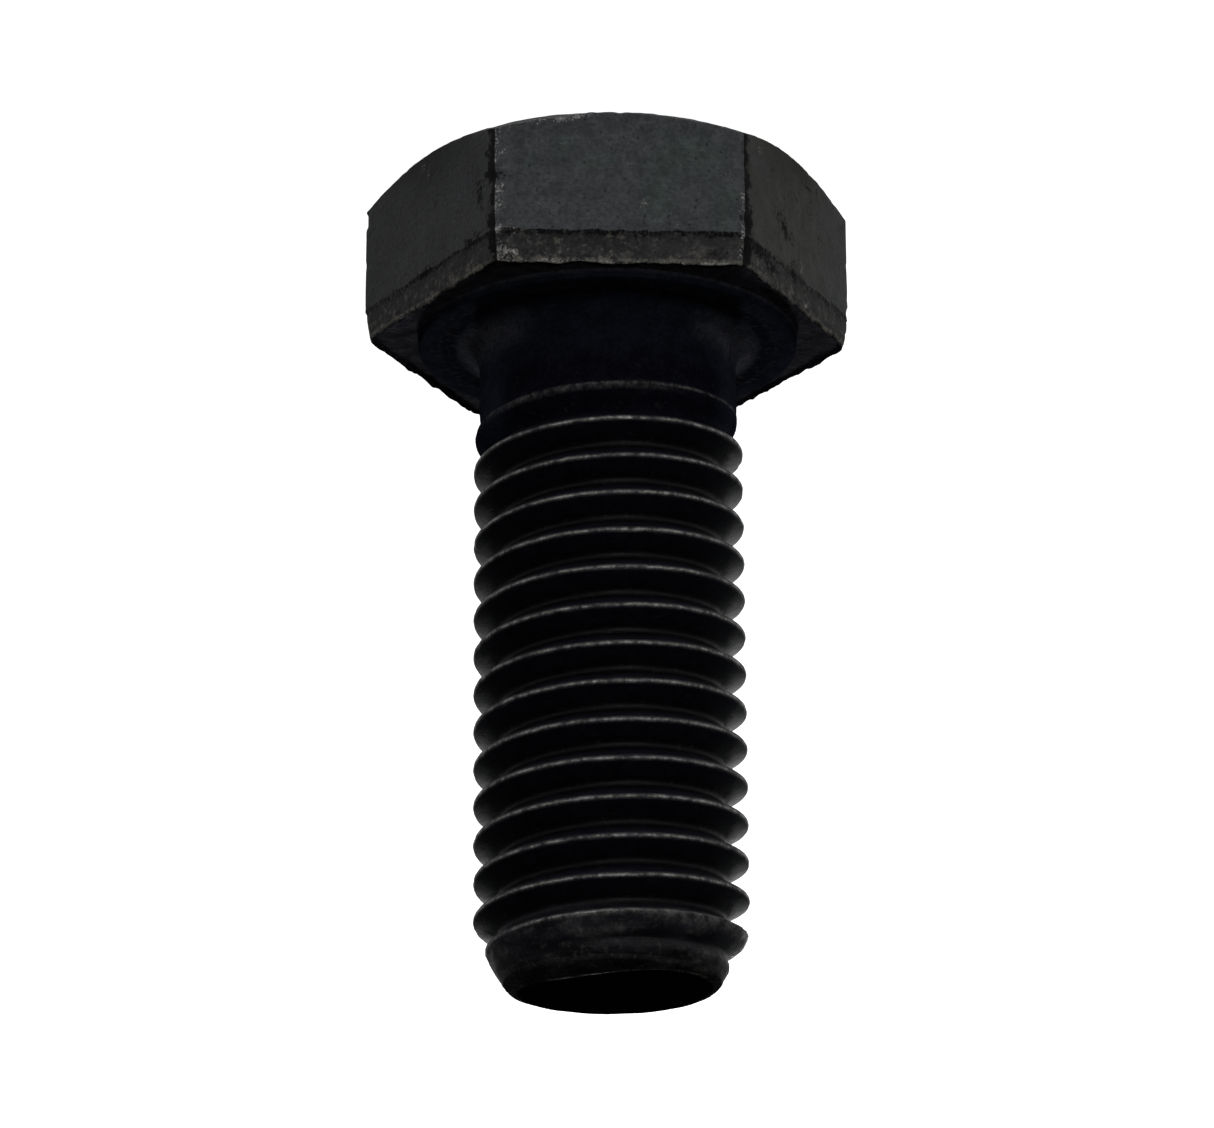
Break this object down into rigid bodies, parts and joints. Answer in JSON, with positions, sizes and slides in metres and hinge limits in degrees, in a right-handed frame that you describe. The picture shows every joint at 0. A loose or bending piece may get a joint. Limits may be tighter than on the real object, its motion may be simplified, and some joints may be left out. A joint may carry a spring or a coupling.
{
  "type": "hex bolt",
  "caption": "Hexagon head bolt with a washer face and a coarse metric thread running up to the head, black oxide steel.",
  "frame": {"origin": "centre of the bearing face, the flat ring under the head that clamps the joint", "axes": "+Z is the bolt's axis and points from the head to the tip, so the head's top face is the lowest face and a loose bolt stands on its head; -Y is the outward normal of the front wrench flat, the one seen nearly face-on in the picture, and +Y that of the opposite flat; +X points at a corner of the hexagon"},
  "size_m": [0.0254, 0.022, 0.0435],
  "materials": {
    "black_oxide_steel": "black oxide on forged and thread-rolled steel, oiled, semi-matt, worn bright on the crests and the head's edges"
  },
  "bodies": {
    "root": {"hex_bolt": "black_oxide_steel"}
  },
  "joints": []
}
